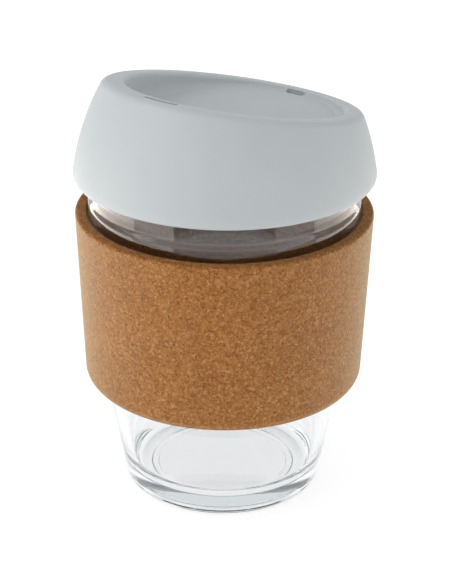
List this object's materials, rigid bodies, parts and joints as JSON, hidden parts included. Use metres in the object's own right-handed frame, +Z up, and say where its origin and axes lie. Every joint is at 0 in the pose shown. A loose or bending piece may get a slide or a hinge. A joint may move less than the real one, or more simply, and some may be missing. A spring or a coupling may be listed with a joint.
{
  "type": "glass travel tumbler",
  "caption": "Rigid glass travel cup with a cork grip band and a slant-topped silicone press-on lid with a sip slot and a vent.",
  "frame": {"origin": "centre of the foot, on the surface that the cup stands on", "axes": "+Z up along the cup's axis; the drinking side of the lid, where its rim is highest, faces -Y and the vent side faces +Y"},
  "size_m": [0.0886, 0.0886, 0.1297],
  "materials": {
    "clear_glass": "clear polished glass with a faint cool tint in the thick base",
    "cork": "fine-grained pressed cork, matt, with darker and paler granules",
    "grey_silicone": "matt pale grey silicone with a soft satin sheen"
  },
  "bodies": {
    "tumbler": {"glass_tumbler": "clear_glass"},
    "grip": {"cork_band": "cork"},
    "lid": {"silicone_lid": "grey_silicone"}
  },
  "joints": [
    {"name": "lid_lift", "type": "slide", "parent": "tumbler", "child": "lid", "axis": [0, 0, 1], "range_m": [0, 0.06]},
    {"name": "cork_band_slide", "type": "slide", "parent": "tumbler", "child": "grip", "axis": [0, 0, 1], "range_m": [-0.034, 0]}
  ]
}
